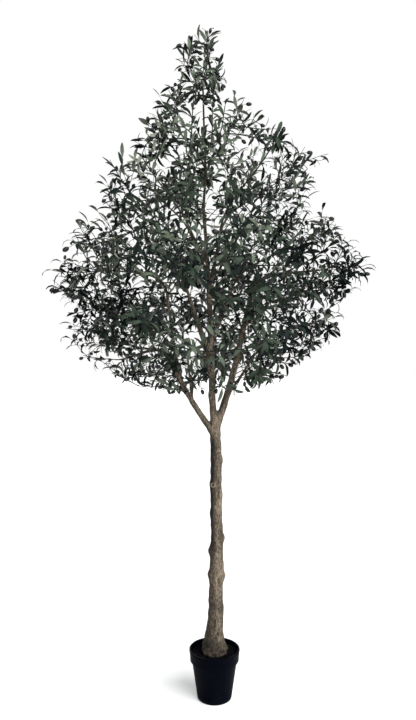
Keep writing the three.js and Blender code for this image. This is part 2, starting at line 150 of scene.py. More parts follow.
# Slimmer is how much finer a tip is than in the solids. Bare is the share of a shoot, from its foot, that
# carries no leaves. Sides and step are its tube's. Set_out and arrive are how far its first and its last
# direction turn from the straight line to its tip: to its carrier's, upwards or along the crown's flow.
STEM = {
    "tip_radius": 3.6, "slimmer": 0.6, "sides": 8, "step": 18, "sunk": 5.0, "bare": 0.6, "beyond_heart": 20,
    "set_out": 0.5,
}
TWIG = {
    "foot_radius": 3.3, "tip_radius": 2.4, "slimmer": 0.7, "sides": 6, "step": 18, "bare": 0.3,
    "set_out": 0.3, "arrive": 0.15,
}
TRIES = 120
FORK = {"shares": (0.2, 0.4, 0.6, 0.8), "shortest": 60, "turn_cost": 1.6}
SOLID_LEAF_LENGTH = 135  # the solids' larger leaf, which sets how far out their stems and twigs go
LOWEST_LIMB = 1200  # from here up, growth keeps clear of the trunk
SAMPLE = 10
SIZE_ROOM = 0.03  # how far growth may pass the box of the solids, as a share of its sides
SPACE_MARGIN = 1.5
TIP_MARGIN = 35
LIMB_MARGIN = 9

# The finer growth that only this script makes. Most sprays end inside the body's share of the crown's
# outline, and the rest reach past them, nearly to the outline. Each spray is a main shoot with side shoots.
SPRAY = {
    "foot_radius": 2.2, "tip_radius": 1.2, "sides": 5, "step": 22, "bare": 0.25, "shortest": 110,
    "turn_cost": 1.3, "forward": 0.35, "with_flow": 0.65, "set_out": 0.35, "arrive": 0.5, "body": 0.78,
    "reaching": 0.55, "tip_margin": 6, "edge_margin": 4, "reach_margin": 10, "limb_margin": 2,
}
SPRAY_FEET = (0.1, 0.95, 12)  # the first and last share of a shoot that sprays leave from, and how many
SPRAY_FITS = (0.15, 1, 12)  # the first and last share of a spray's main shoot that has to fit, and how many
SPRAY_ON_BOUGH = (0.45, 0.98)
SPRAY_ON_LEADER = (-0.8, 0.3)  # of a mass's span, from its heart
SHOOT = {
    "foot_radius": 1.4, "tip_radius": 0.9, "sides": 5, "step": 22, "bare": 0.1, "count": (5, 3),
    "shares": (0.25, 0.88), "length": (95, 175), "sizes": (1.0, 0.75, 0.55), "taper": 0.35, "spread": 0.65,
    "spread_varies": (0.8, 1.25), "turn": 2.4, "set_out": 0.3, "arrive": 0.45, "within": 0.95,
    "space_margin": 2, "edge_margin": 10, "limb_margin": 3,
}
# Long bare shoots under the crown and at its upper right: the mass that each belongs to, the bough that it
# leaves, its height there, and its tip.
LOW_SHOOTS = [
    ("left_low", "left_low", 1352, (-294, -70, 1418)),
    ("left_low", "left_low", 1366, (-356, 10, 1452)),
    ("left_low", "left_low", 1385, (-226, -95, 1474)),
    ("left_low", "left_low", 1340, (-190, -40, 1400)),
    ("front_right_low", "right_middle", 1400, (214, -80, 1446)),
    ("front_right_low", "right_middle", 1425, (318, -45, 1440)),
    ("right_middle", "right_middle", 1440, (262, 60, 1482)),
    ("front_right_high", "front_right_high", 2055, (502, -45, 2420)),
    ("back_right_high", "back_right_high", 2060, (462, 60, 2325)),
]
LOW_SHOOT = {**SPRAY, "bare": 0.45, "side_shoots": 2, "set_out": 0.25, "arrive": 0.3}
LEADER_SPRAYS = 2000  # masses with their heart above this also have sprays that leave the leader
# How steeply shoots rise as they spread out from the trunk, at heights in the crown.
RISE = np.array([[1400, 0.0], [1500, 0.3], [1650, 0.65], [1900, 1.0], [2150, 1.6], [2400, 2.4], [2700, 3.5]])
LEAF = {
    "length": (57, 76), "width": (13, 17), "thickness": 0.5, "spacing": 32, "first": 0.7,
    "spread": (0.95, 0.78), "spread_varies": (0.75, 1.3), "turn_varies": 0.5, "rise_varies": 0.12,
    "bend": (1.75, 1.0), "bend_varies": 0.65, "roll_varies": 0.9, "faces_up": 0.45, "tip_leans": 0.4,
    "tip_faces_on": 0.2, "beyond": 22, "limb_margin": 3,
}
HANG = ((1345, 1480), (50, 0))  # heights, and how far below the crown's outline a leaf may hang there
THINNING = ((1345, 1530), (0.65, 0.0))  # heights, and the share of leaves left out there
LOOSE_TO_TIGHT = (1950, 2300)  # heights between which leaves turn from the first of each pair to the second
OLIVE = {
    "length": 25, "width": 17, "sizes": (0.85, 1.12), "share": 0.8, "on_shoot": (0.35, 0.9),
    "stalk": (15, 34), "stalk_radii": (0.9, 0.8, 0.9), "stalk_sides": 4, "sags": 0.4, "enters": 2,
    "rises": (-0.9, 0.4), "forward": 0.6, "seat": 0.46, "edge_margin": 12, "limb_margin": 14,
}


def seeded(seed):
    """A repeatable stream of numbers from 0 to 1."""
    state = seed * 7919 + 1
    while True:
        state = state * 16807 % 2147483647
        yield state / 2147483647


def unit(vectors):
    """Vectors scaled to length 1, along the last axis."""
    return vectors / np.linalg.norm(vectors, axis=-1, keepdims=True)


def blend(start, end, share):
    """A direction part of the way from one to another."""
    return unit(start + (end - start) * share)


def between(limits, number):
    """The value that a number from 0 to 1 gives between two limits."""
    return limits[0] + (limits[1] - limits[0]) * number


def turned_round(along, turn):
    """The direction square to a shoot that lies this turn round it, in radians."""
    side = unit(np.cross(along, UP))
    return side * math.cos(turn) + np.cross(along, side) * math.sin(turn)


def trunk_line(heights):
    """Points on the middle of the trunk at these heights."""
    heights = np.asarray(heights, dtype=float)
    lean = np.interp(heights, TRUNK_PROFILE[:, 0], TRUNK_PROFILE[:, 2])
    return np.stack([lean, np.zeros_like(heights), heights], axis=-1)


def trunk_radius(heights):
    return np.interp(heights, TRUNK_PROFILE[:, 0], TRUNK_PROFILE[:, 1])


def azimuth_vector(degrees):
    angle = math.radians(degrees)
    return np.array([math.cos(angle), math.sin(angle), 0.0])


def around_trunk(degrees, radius, height):
    return trunk_line(height) + azimuth_vector(degrees) * radius


class Curve:
    """A cubic Bezier curve that is measured along its length."""

    def __init__(self, start, first_pull, second_pull, end):
        self.controls = np.array([start, first_pull, second_pull, end])
        steps = np.linspace(0, 1, 201)
        points = self.bezier(steps)
        self.lengths = np.concatenate([[0], np.cumsum(np.linalg.norm(np.diff(points, axis=0), axis=1))])
        self.length = self.lengths[-1]
        self.steps = steps

    def bezier(self, t):
        t = np.asarray(t, dtype=float)[..., None]
        a, b, c, d = self.controls
        return a * (1 - t) ** 3 + 3 * b * t * (1 - t) ** 2 + 3 * c * t**2 * (1 - t) + d * t**3

    def at(self, shares):
        """Points at these shares of the length."""
        return self.bezier(np.interp(np.asarray(shares) * self.length, self.lengths, self.steps))

    def along(self, shares):
        """The curve's direction at these shares of the length."""
        t = np.interp(np.asarray(shares) * self.length, self.lengths, self.steps)[..., None]
        a, b, c, d = self.controls
        return unit((b - a) * (1 - t) ** 2 + 2 * (c - b) * t * (1 - t) + (d - c) * t**2)


def bent(start, set_out, end, arrive):
    """A curve that leaves its start along one direction and reaches its end along another."""
    pull = np.linalg.norm(end - start) / 3
    return Curve(start, start + set_out * pull, end - arrive * pull, end)


def straight(start, end):
    return Curve(start, start + (end - start) / 3, end - (end - start) / 3, end)


class Mass:
    """One mass of foliage: where it is, what carries it, and the space that it keeps to."""

    def __init__(self, place, tier, azimuth, carrier, leaves, girth):
        facts = TIERS[tier]
        self.name = f"{place}_{tier}"
        self.carrier, self.leaves, self.girth = carrier, leaves, girth
        self.span, self.twigs, self.sprays = facts["span"], facts["twigs"], facts["sprays"]
        self.edge_margin = SOLID_LEAF_LENGTH * facts["size"] + TWIG["tip_radius"]
        self.seed = facts["seed"] + azimuth
        self.heart = around_trunk(azimuth, *facts["heart"])
        self.tip = around_trunk(azimuth, *facts["tip"]) if facts["tip"] else None


masses = [Mass(*row) for row in MASSES]
for mass in masses:
    hearts = np.array([other.heart for other in masses if other is not mass])
    mass.walls = (hearts + mass.heart) / 2
    mass.wall_directions = unit(hearts - mass.heart)


def crown_reach(heights):
    """How far out the crown's outline is at these heights, to the left and to the right."""
    return [np.interp(heights, CROWN_PROFILE[:, 0], CROWN_PROFILE[:, side]) for side in (1, 2)]


def crown_radii(points):
    """How far out from the trunk's line points are, and how far the crown's outline is there."""
    left, right = crown_reach(points[:, 2])
    out = points - trunk_line(points[:, 2])
    radii = np.hypot(out[:, 0], out[:, 1])
    to_right = (1 + out[:, 0] / np.maximum(radii, 1e-9)) / 2
    return radii, left + (right - left) * to_right


def in_crown(points, margin, share=1.0):
    """Which points lie inside a share of the outline of the crown, a margin in from it."""
    radii, outline = crown_radii(points)
    heights = points[:, 2]
    between_ends = (heights - margin >= CROWN_PROFILE[0, 0]) & (heights + margin <= CROWN_PROFILE[-1, 0])
    return between_ends & (radii + margin <= outline * share)


def as_seen(points):
    """Where points appear from the front, on the upright plane through the trunk."""
    return EYE + (points - EYE) * (-EYE[1] / (points[:, 1:2] - EYE[1]))


def in_outline(points, margin=0):
    """Which points appear inside the crown's outline from the front."""
    seen = as_seen(points)
    heights = seen[:, 2]
    across = seen[:, 0] - trunk_line(heights)[:, 0]
    left, right = crown_reach(heights)
    below_top = heights <= CROWN_PROFILE[-1, 0] - margin
    return (across >= margin - left) & (across <= right - margin) & below_top


def in_space(points, mass, margin=SPACE_MARGIN, edge_margin=0, share=1.0):
    """Which points keep to a mass's space: nearer its own heart than any other, and inside the crown."""
    beyond = np.einsum("pwk,wk->pw", points[:, None] - mass.walls, mass.wall_directions)
    return in_crown(points, edge_margin, share) & (beyond <= -margin).all(axis=1)


# Each bough's curve, and its radii at its foot and its tip.
limbs = {}
HALVINGS = 30


def point_on_limb(name, height):
    """The point on a limb at a height, found by halving."""
    if name == "trunk":
        return trunk_line(height)
    curve = limbs[name]["curve"]
    low, high = 0.0, 1.0
    for _ in range(HALVINGS):
        middle = (low + high) / 2
        if curve.at(middle)[2] < height:
            low = middle
        else:
            high = middle
    return curve.at(low)


def grow_bough(mass):
    """A bough leaves wide of the straight line to its tip, then bends up towards it."""
    foot = point_on_limb(mass.carrier, mass.leaves)
    across = unit(mass.tip - foot)
    wide = unit(across * [1, 1, 0])
    curve = bent(foot, blend(across, wide, BOUGH["bow"]), mass.tip, blend(across, UP, BOUGH["bow"]))
    limbs[mass.name] = {"curve": curve, "radii": (mass.girth, mass.girth * BOUGH["taper"])}


# Boughs on the trunk come first, because the others leave from them.
for mass in sorted(masses, key=lambda mass: mass.carrier != "trunk"):
    if mass.tip is not None:
        grow_bough(mass)


def trunk_samples(low, high):
    """Points along a stretch of the trunk, each with the radius there."""
    heights = np.arange(low, high, SAMPLE)
    return np.column_stack([trunk_line(heights), trunk_radius(heights)])


def bough_samples(name, share, more=0):
    """Points along a share of a bough, from its foot, each with the radius there."""
    limb = limbs[name]
    shares = np.linspace(0, share, math.ceil(limb["curve"].length / SAMPLE) + more)
    return np.column_stack([limb["curve"].at(shares), between(limb["radii"], shares)])


limb_wood = np.concatenate([
    trunk_samples(LOWEST_LIMB, TRUNK_TOP + 1), *(bough_samples(name, 1, 1) for name in limbs),
])
# The wood that the crown is open in front of, and where it appears.
wood_shown = np.concatenate([
    trunk_samples(CROWN_PROFILE[0, 0], WOOD_SHOWS["trunk_top"]),
    *(bough_samples(name, WOOD_SHOWS["bough_share"]) for name in WOOD_SHOWS["boughs"]),
])
wood_seen = as_seen(wood_shown[:, :3])[:, [0, 2]]


def hides_wood(points):
    """Whether any of these points is in front of the limbs that show."""
    ahead = points[points[:, 1] < -WOOD_SHOWS["margin"]]
    if not len(ahead):
        return False
    away = np.linalg.norm(as_seen(ahead)[:, None, [0, 2]] - wood_seen[None], axis=2)
    return bool((away < wood_shown[:, 3] + WOOD_SHOWS["margin"]).any())


def clear_of_limbs(points, margin=LIMB_MARGIN):
    """Which points are further than a margin from every limb's bark."""
    away = np.linalg.norm(points[:, None] - limb_wood[None, :, :3], axis=2)
    return (away > limb_wood[:, 3] + margin).all(axis=1)


def reach(mass, direction):
    """How far a mass's space reaches from its heart along a direction."""
    distance = 0
    while in_space((mass.heart + direction * (distance + SAMPLE))[None], mass)[0]:
        distance += SAMPLE
    return distance


def stem_curve(mass):
    """The stem of a mass, from its bough's tip or the trunk, through the heart, to near the far side."""
    start = mass.tip if mass.tip is not None else trunk_line(mass.leaves)
    out = unit(mass.heart - start)
    upward = blend(out, UP, STEM["set_out"])
    set_out = limbs[mass.name]["curve"].along(1.0) if mass.tip is not None else upward
    on_tip = mass.tip is not None or mass.leaves >= TRUNK_TOP
    foot = start + set_out * GAP if on_tip else start
    end = mass.heart + out * max(reach(mass, out) - SOLID_LEAF_LENGTH, STEM["beyond_heart"])
    return bent(foot, set_out, end, blend(unit(end - foot), UP, BOUGH["bow"]))


def spread_tips(mass, count, near, numbers, margin, edge_margin, inner=0.0, outer=1.0):
    """Places spread through a mass's space between two shares of the crown's outline: each is the one
    furthest from the wood and the places so far, of a number of seeded tries."""
    taken = near
    tips = []
    for _ in range(count):
        offsets = np.array([2 * next(numbers) - 1 for _ in range(3 * TRIES)]).reshape(-1, 3) * mass.span
        points = mass.heart + offsets
        points = points[in_space(points, mass, margin, edge_margin, outer)]
        points = points[~in_crown(points, 0, inner)] if len(points) else points
        points = points[clear_of_limbs(points, TIP_MARGIN / 2)] if len(points) else points
        if not len(points):
            continue
        room = np.linalg.norm(points[:, None] - taken[None], axis=2).min(axis=1)
        tips.append(points[room.argmax()])
        taken = np.vstack([taken, tips[-1]])
    return tips


def flow(point):
    """The direction that shoots take in the crown: out from the trunk, and up the more the higher."""
    out = (point - trunk_line(point[2])) * [1, 1, 0]
    return unit(unit(out) + UP * np.interp(point[2], RISE[:, 0], RISE[:, 1]))


def best_fork(wood, shares, tip, facts, current=None):
    """Where on the wood so far a shoot can leave soonest for its tip at a forward angle, and along a current
    if there is one: the point and the wood's direction there."""
    feet = np.concatenate([curve.at(shares) for curve in wood])
    directions = np.concatenate([curve.along(shares) for curve in wood])
    across = tip - feet
    lengths = np.linalg.norm(across, axis=1)
    forward = (unit(across) * directions).sum(axis=1)
    if current is not None:
        forward = facts["forward"] * forward + facts["with_flow"] * unit(across) @ current
    cost = np.where(lengths > facts["shortest"], lengths * (facts["turn_cost"] - forward), np.inf)
    best = cost.argmin()
    return feet[best], directions[best]


def shoot_curve(foot, along, tip, current, facts):
    """A shoot from its foot to its tip, bent at both ends by what its facts say."""
    across = unit(tip - foot)
    return bent(foot, blend(across, along, facts["set_out"]), tip, blend(across, current, facts["arrive"]))


def grow_twigs(mass, stem, numbers):
    """The first twigs of a mass, as in the solids, here a little bent."""
    wood = [stem]
    twigs = []
    near = stem.at(np.linspace(0, 1, 9))
    for tip in spread_tips(mass, mass.twigs, near, numbers, TIP_MARGIN, mass.edge_margin):
        foot, direction = best_fork(wood, FORK["shares"], tip, FORK)
        line = straight(foot, tip)
        points = line.at(np.linspace(0, 1, math.ceil(line.length / SAMPLE) + 1))
        if in_space(points, mass, TWIG["foot_radius"]).all() and clear_of_limbs(points).all():
            wood.append(line)
            twigs.append(shoot_curve(foot, direction, tip, UP, TWIG))
    return twigs


def in_reach(points, margin=0):
    """Which points keep within what the size rule leaves round the solids' box."""
    box = np.array(CAD_BOX) / MM
    room = (box[1] - box[0]) * SIZE_ROOM - margin
    return ((points > box[0] - room) & (points < box[1] + room)).all(axis=1)


def limbs_in_space(mass):
    """The lengths of the leader and of the mass's own bough that sprays can leave from."""
    lengths = []
    if mass.name in limbs:
        lengths.append(straight(*limbs[mass.name]["curve"].at(SPRAY_ON_BOUGH)))
    if mass.tip is None or mass.heart[2] > LEADER_SPRAYS:
        low, high = (mass.heart[2] + mass.span * share for share in SPRAY_ON_LEADER)
        lengths.append(straight(trunk_line(low), trunk_line(min(high, TRUNK_TOP))))
    return lengths


def grow_sprays(mass, wood, numbers):
    """The finer growth of a mass, which fills the room that the first twigs leave: main shoots that follow
    the crown's flow, and the side shoots that make each one a spray."""
    wood = list(wood)
    mains, sides = [], []
    near = np.concatenate([curve.at(np.linspace(0, 1, 7)) for curve in wood])
    reaching = round(mass.sprays * SPRAY["reaching"])
    margins = SPRAY["tip_margin"], SPRAY["edge_margin"]
    tips = spread_tips(mass, mass.sprays - reaching, near, numbers, *margins, outer=SPRAY["body"])
    tips += spread_tips(mass, reaching, np.vstack([near, *tips]), numbers, *margins, inner=SPRAY["body"])
    for number, tip in enumerate(tips):
        current = flow(tip)
        foot, direction = best_fork(wood, np.linspace(*SPRAY_FEET), tip, SPRAY, current)
        curve = shoot_curve(foot, direction, tip, current, SPRAY)
        points = curve.at(np.linspace(*SPRAY_FITS))
        inside = in_outline(points, SPRAY["tip_margin"]) & in_reach(points, SPRAY["reach_margin"])
        if (inside & clear_of_limbs(points, SPRAY["limb_margin"])).all():
            wood.append(curve)
            mains.append(curve)
            count = SHOOT["count"][0 if number < len(tips) - reaching else 1]
            sides += grow_side_shoots(mass, curve, count, numbers)
    return mains, sides


def low_shoot(limb, height, tip):
    """A shoot that sweeps out from low on a bough and droops a little at its tip."""
    foot = point_on_limb(limb, height)
    across = unit(tip - foot)
    return bent(foot, blend(across, UP, LOW_SHOOT["set_out"]), tip, blend(across, -UP, LOW_SHOOT["arrive"]))


def grow_side_shoots(mass, main, count, numbers):
    """The side shoots of a spray, turned on from each other round its main shoot, shorter towards its tip."""
    sides = []
    turn = 2 * math.pi * next(numbers)
    for share in np.linspace(*SHOOT["shares"], count):
        foot, along = main.at(share), main.along(share)
        turn += SHOOT["turn"]
        length = between(SHOOT["length"], next(numbers)) * (1 - SHOOT["taper"] * share)
        varies = between(SHOOT["spread_varies"], next(numbers))
        direction = unit(along + turned_round(along, turn) * SHOOT["spread"] * varies)
        for size in SHOOT["sizes"]:
            end = foot + direction * length * size
            points = np.linspace(foot, end, 6)[2:]
            inside = in_space(points, mass, SHOOT["space_margin"], 0, SHOOT["within"])
            inside &= in_outline(points, SHOOT["edge_margin"]) & in_reach(points)
            if (inside & clear_of_limbs(points, SHOOT["limb_margin"])).all():
                set_out = blend(direction, along, SHOOT["set_out"])
                sides.append(bent(foot, set_out, end, blend(direction, flow(end), SHOOT["arrive"])))
                break
    return sides


def tube_faces(rings, sides, foot, tip, first=0):
    """The faces of a closed tube: between rings of points, counted from the first, and round both ends."""
    faces = []
    for i in range(rings - 1):
        for j in range(sides):
            here, beside = first + i * sides + j, first + i * sides + (j + 1) % sides
            faces.append((here, beside, beside + sides, here + sides))
    last = first + (rings - 1) * sides
    for j in range(sides):
        beside = (j + 1) % sides
        faces += [(foot, first + beside, first + j), (tip, last + j, last + beside)]
    return faces


class Builder:
    """Gathers points and faces in millimetres, with a material for each face, into one mesh."""

    def __init__(self):
        self.points, self.faces, self.looks = [], [], []
        self.count = 0

    def add(self, points, faces, looks):
        """Adds points with three- or four-cornered faces, and a material number for each face."""
        self.points.append(points)
        self.faces.extend([tuple(int(i) + self.count for i in face) for face in faces])
        self.looks.extend([looks] * len(faces) if np.isscalar(looks) else looks)
        self.count += len(points)

    def add_tube(self, centres, radii, sides, look=0):
        """A closed tube through centres, one radius each, its sides kept from twisting."""
        along = unit(np.gradient(centres, axis=0))
        side = np.cross(along[0], UP if abs(along[0][2]) < 0.9 else [1.0, 0.0, 0.0])
        rings = []
        angles = np.linspace(0, 2 * np.pi, sides, endpoint=False)
        for centre, radius, direction in zip(centres, radii, along):
            side = unit(side - direction * (side @ direction))
            other = np.cross(direction, side)
            rings.append(centre + radius * (np.cos(angles)[:, None] * side + np.sin(angles)[:, None] * other))
        points = np.vstack([*rings, centres[0], centres[-1] + along[-1] * radii[-1]])
        self.add(points, tube_faces(len(rings), sides, len(points) - 2, len(points) - 1), look)

    def mesh(self, name):
        mesh = bpy.data.meshes.new(name)
        mesh.from_pydata((np.vstack(self.points) * MM).tolist(), [], self.faces)
        mesh.polygons.foreach_set("material_index", self.looks)
        mesh.polygons.foreach_set("use_smooth", [True] * len(self.faces))
        mesh.update()
        return mesh


def add_object(name, data):
    """A new object in the scene."""
    obj = bpy.data.objects.new(name, data)
    bpy.context.scene.collection.objects.link(obj)
    return obj


def piece(name, mesh, materials, nodes, sharp=None):
    """A named object that rides on the tree and takes the place of some of its solids."""
    obj = add_object(name, mesh)
    for material in materials:
        mesh.materials.append(material)
    if sharp:
        mesh.set_sharp_from_angle(angle=math.radians(sharp))
    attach(obj, "root")
    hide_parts(*nodes)


# Materials.

WHITE = (1, 1, 1, 1)
BLACK = (0, 0, 0, 1)


def srgb(*levels):
    """A linear colour from levels of 0 to 255 as seen on a screen."""
    return (*(((v / 255 + 0.055) / 1.055) ** 2.4 if v > 10 else v / 255 / 12.92 for v in levels), 1.0)


class Nodes:
    """A material's node tree, with short calls for the nodes used here."""

    def __init__(self, name, roughness, specular=0.5):
        self.material = bpy.data.materials.new(name)
        self.material.use_nodes = True
        self.tree = self.material.node_tree
        self.shader = self.tree.nodes["Principled BSDF"]
        self.shader.inputs["Roughness"].default_value = roughness
        self.shader.inputs["Specular IOR Level"].default_value = specular

    def node(self, kind, links=(), **settings):
        """A node with its inputs linked or set by name."""
        node = self.tree.nodes.new(f"ShaderNode{kind}")
        for key, value in settings.items():
            setattr(node, key, value)
        for name, value in dict(links).items():
            socket = node.inputs[name]
            if isinstance(value, bpy.types.NodeSocket):
                self.tree.links.new(value, socket)
            else:
                socket.default_value = value
        return node

    def place(self, scale):
        """The object's own coordinates, in metres, scaled along each axis."""
        coordinates = self.node("TexCoord").outputs["Object"]
        return self.node("Mapping", {"Vector": coordinates, "Scale": scale}).outputs["Vector"]

    def noise(self, scale, stretch=(1, 1, 1), detail=4.0, roughness=0.55, distortion=0.0):
        """Cloudy values from 0 to 1, with this many clouds to a metre."""
        links = {
            "Vector": self.place(stretch), "Scale": scale, "Detail": detail, "Roughness": roughness,
            "Distortion": distortion,
        }
        return self.node("TexNoise", links).outputs["Fac"]

    def ramp(self, value, *stops):
        """Colours along a value, each stop a place from 0 to 1 and a colour."""
        node = self.node("ValToRGB", {"Fac": value})
        elements = node.color_ramp.elements
        while len(elements) < len(stops):
            elements.new(0.5)
        for element, (place, colour) in zip(elements, stops):
            element.position = place
            element.color = colour
        return node.outputs["Color"]

    def mix(self, share, first, second, blend_type="MIX"):
        """Two colours mixed, by the sockets that a Mix node has for its share and for colours."""
        links = {0: share, 6: first, 7: second}
        return self.node("Mix", links, data_type="RGBA", blend_type=blend_type).outputs[2]

    def maths(self, operation, first, second):
        return self.node("Math", {0: first, 1: second}, operation=operation).outputs["Value"]

    def mapped(self, value, low, high, start=0.0, end=1.0):
        """A value mapped from between one pair of limits to between another, and held there."""
        links = {"Value": value, "From Min": low, "From Max": high, "To Min": start, "To Max": end}
        return self.node("MapRange", links).outputs["Result"]

    def link(self, value, name):
        self.tree.links.new(value, self.shader.inputs[name])

    def bump(self, height, distance, strength=1.0, normal=None):
        """The normal that a height in metres gives, on top of another one."""
        links = {"Height": height, "Distance": distance, "Strength": strength}
        if normal is not None:
            links["Normal"] = normal
        return self.node("Bump", links).outputs["Normal"]


def plain_material(name, colour, roughness, specular=0.5):
    nodes = Nodes(name, roughness, specular)
    nodes.shader.inputs["Base Color"].default_value = colour
    return nodes.material


def bark_material():
    """A moulded coat in grey browns, mottled, with dark cracks that run along the trunk."""
    nodes = Nodes("bark", 0.85, 0.3)
    mottle = nodes.noise(170, stretch=(1, 1, 0.45), detail=7, roughness=0.75)
    colour = nodes.ramp(
        mottle, (0.34, srgb(48, 44, 38)), (0.45, srgb(100, 90, 77)), (0.55, srgb(143, 128, 111)),
        (0.68, srgb(186, 169, 148)),
    )
    broad = nodes.noise(20, stretch=(1, 1, 0.5), detail=3)
    broad = nodes.ramp(broad, (0.36, srgb(172, 172, 170)), (0.6, WHITE))
    colour = nodes.mix(1.0, colour, broad, "MULTIPLY")
    cracks = nodes.noise(75, stretch=(1, 1, 0.2), detail=6, roughness=0.65, distortion=0.8)
    dark = nodes.ramp(cracks, (0.37, (0.05, 0.05, 0.05, 1)), (0.44, WHITE))
    colour = nodes.mix(0.8, colour, dark, "MULTIPLY")
    pits = nodes.ramp(nodes.noise(300, detail=2), (0.33, (0.15, 0.15, 0.14, 1)), (0.42, WHITE))
    colour = nodes.mix(0.7, colour, pits, "MULTIPLY")
    scuffs = nodes.ramp(nodes.noise(38, detail=6, roughness=0.75), (0.66, BLACK), (0.72, WHITE))
    colour = nodes.mix(scuffs, colour, srgb(186, 178, 160))
    where = nodes.place((1, 1, 1))
    place = nodes.node("SeparateXYZ", {"Vector": where}).outputs
    foot = nodes.ramp(
        nodes.mapped(place["Z"], 0.2, 1.2), (0.0, srgb(138, 138, 132)), (0.055, srgb(150, 150, 144)),
        (0.075, srgb(210, 210, 207)), (0.4, srgb(244, 244, 242)), (1.0, WHITE),
    )
    colour = nodes.mix(1.0, colour, foot, "MULTIPLY")
    # Painted shade on the trunk's left side, partly a darker patch of its coat, strongest in its upper half.
    drift = nodes.mapped(nodes.noise(14, stretch=(1, 1, 0.45), detail=4), 0.0, 1.0, -0.02, 0.02)
    aside = nodes.mapped(nodes.maths("ADD", place["X"], drift), -0.008, 0.01, 1.0, 0.0)
    grey = [(level, level, level, 1) for level in (0.35, 0.5, 1.0, 1.0, 0.0)]
    painted_shade_by_height = nodes.ramp(nodes.mapped(place["Z"], 0.2, 1.3), *zip((0.0, 0.35, 0.46, 0.84, 0.92), grey))
    share = nodes.maths("MULTIPLY", aside, painted_shade_by_height)
    colour = nodes.mix(share, colour, srgb(86, 84, 82), "MULTIPLY")
    # Each scar has a pale rim.
    for height, azimuth, size in SCARS:
        centre = around_trunk(azimuth, trunk_radius(height), height) * MM
        away = nodes.node("VectorMath", {0: where, 1: centre}, operation="DISTANCE").outputs["Value"]
        away = nodes.mapped(away, 0.0, 2 * size * MM)
        rim = nodes.ramp(away, (0.22, BLACK), (0.4, WHITE), (0.55, WHITE), (0.75, BLACK))
        colour = nodes.mix(nodes.maths("MULTIPLY", rim, mottle), colour, srgb(172, 156, 136))
    # The leader is darker and greener the higher it goes.
    colour = nodes.mix(nodes.mapped(place["Z"], 1.75, 2.15), colour, srgb(128, 134, 118), "MULTIPLY")
    nodes.link(colour, "Base Color")
    normal = nodes.bump(cracks, 0.004)
    normal = nodes.bump(nodes.noise(420, detail=3), 0.0008, normal=normal)
    nodes.link(normal, "Normal")
    return nodes.material


def pot_material():
    """Black moulded plastic, satin, with a faint grain and dusty patches."""
    nodes = Nodes("pot_plastic", 0.5, 0.02)
    cloud = nodes.noise(14, detail=5)
    nodes.link(nodes.ramp(cloud, (0.3, srgb(1, 2, 8)), (0.75, srgb(4, 6, 15))), "Base Color")
    nodes.link(nodes.mapped(nodes.noise(60, detail=4), 0.0, 1.0, 0.42, 0.62), "Roughness")
    nodes.link(nodes.bump(nodes.noise(1400, detail=2), 0.00015), "Normal")
    return nodes.material


def fill_material():
    """Black crumbs, from nearly black to dark grey-brown."""
    nodes = Nodes("pot_fill", 0.95, 0.05)
    grain = nodes.noise(260, detail=3)
    nodes.link(nodes.ramp(grain, (0.35, srgb(4, 4, 7)), (0.7, srgb(20, 19, 22))), "Base Color")
    nodes.link(nodes.bump(nodes.noise(700, detail=3), 0.001), "Normal")
    return nodes.material


# From the palest spray to the darkest: one leaf top in lit and shaded copies, for painted light and shade.
LEAF_TOPS = [
    plain_material(f"leaf_top_{name}", srgb(*levels), 0.6, specular) for name, levels, specular in (
        ("grey", (88, 98, 83), 0.15), ("green", (51, 63, 51), 0.15), ("deep", (24, 35, 31), 0.1),
        ("black", (4, 8, 9), 0.04),
    )
]
LEAF_UNDERS = [
    plain_material(f"leaf_under_{name}", srgb(*levels), 0.75, specular) for name, levels, specular in (
        ("pale", (134, 140, 126), 0.15), ("olive", (88, 97, 84), 0.15), ("dark", (36, 43, 39), 0.1),
    )
]
TOP_LIMITS = [0.2, 0.42, 0.64]  # of a spray's shade, between one top colour and the next
UNDER_SHARES = [0.3, 0.4, 0.3]
# A spray's painted shade, darker to the crown's left and right and paler to the front and the top, as light
# falls there: what every spray has, what being far out, ahead and to a side each add, and how much it varies.
# It is taken at one share of the shoot. Then heights in the crown, and what each adds.
PAINTED_SHADE = {"start": 0.29, "outward": 0.15, "ahead": -0.3, "aside": 0.8, "varies": 0.65, "taken_at": 0.8}
PAINTED_SHADE_HEIGHTS = ((1350, 1700, 2100, 2500), (-0.12, 0.12, 0.0, -0.25))

STEM_LOOK = plain_material("stem_brown", srgb(62, 57, 48), 0.7, 0.2)
TWIG_LOOK = plain_material("twig_green", srgb(36, 42, 33), 0.6, 0.2)
OLIVE_LOOK = plain_material("olive_black", srgb(12, 14, 17), 0.3, 0.3)
BARK_LOOK = bark_material()


# Leaves and olives.

BLADE_STATIONS = np.array([0.0, 0.14, 0.4, 0.66, 0.87, 1.0])
BLADE_WIDTHS = np.array([0.0, 0.34, 0.98, 0.9, 0.5, 0.0])
BLADE_FOLD = 0.2  # how far the edges stand up from the midrib, against half the width
BLADE_CURL = 1.2  # over 1, so that a leaf bends more towards its tip
BLADE_RIB = [3, 7, 11, -1]  # the points on the rib at three stations, and the tip
LEAF_SHARP = 60  # degrees between faces, over which an edge is sharp


def blade_faces():
    """The faces of one leaf: above from its left and right edges to the rib, and the same below. Points go
    root, then left, right, rib above and rib below at each station, then tip."""
    above, below = [], []
    tip = 1 + 4 * (len(BLADE_STATIONS) - 2)
    first = 1
    above += [(0, first + 2, first), (0, first + 1, first + 2)]
    below += [(0, first, first + 3), (0, first + 3, first + 1)]
    for station in range(len(BLADE_STATIONS) - 3):
        left, right, rib, keel = (1 + 4 * station + k for k in range(4))
        above += [(left, rib, rib + 4, left + 4), (rib, right, right + 4, rib + 4)]
        below += [(keel, left, left + 4, keel + 4), (right, keel, keel + 4, right + 4)]
    last = tip - 4
    above += [(last, last + 2, tip), (last + 2, last + 1, tip)]
    below += [(last + 3, last, tip), (last + 1, last + 3, tip)]
    return above, below


BLADE_ABOVE, BLADE_BELOW = blade_faces()


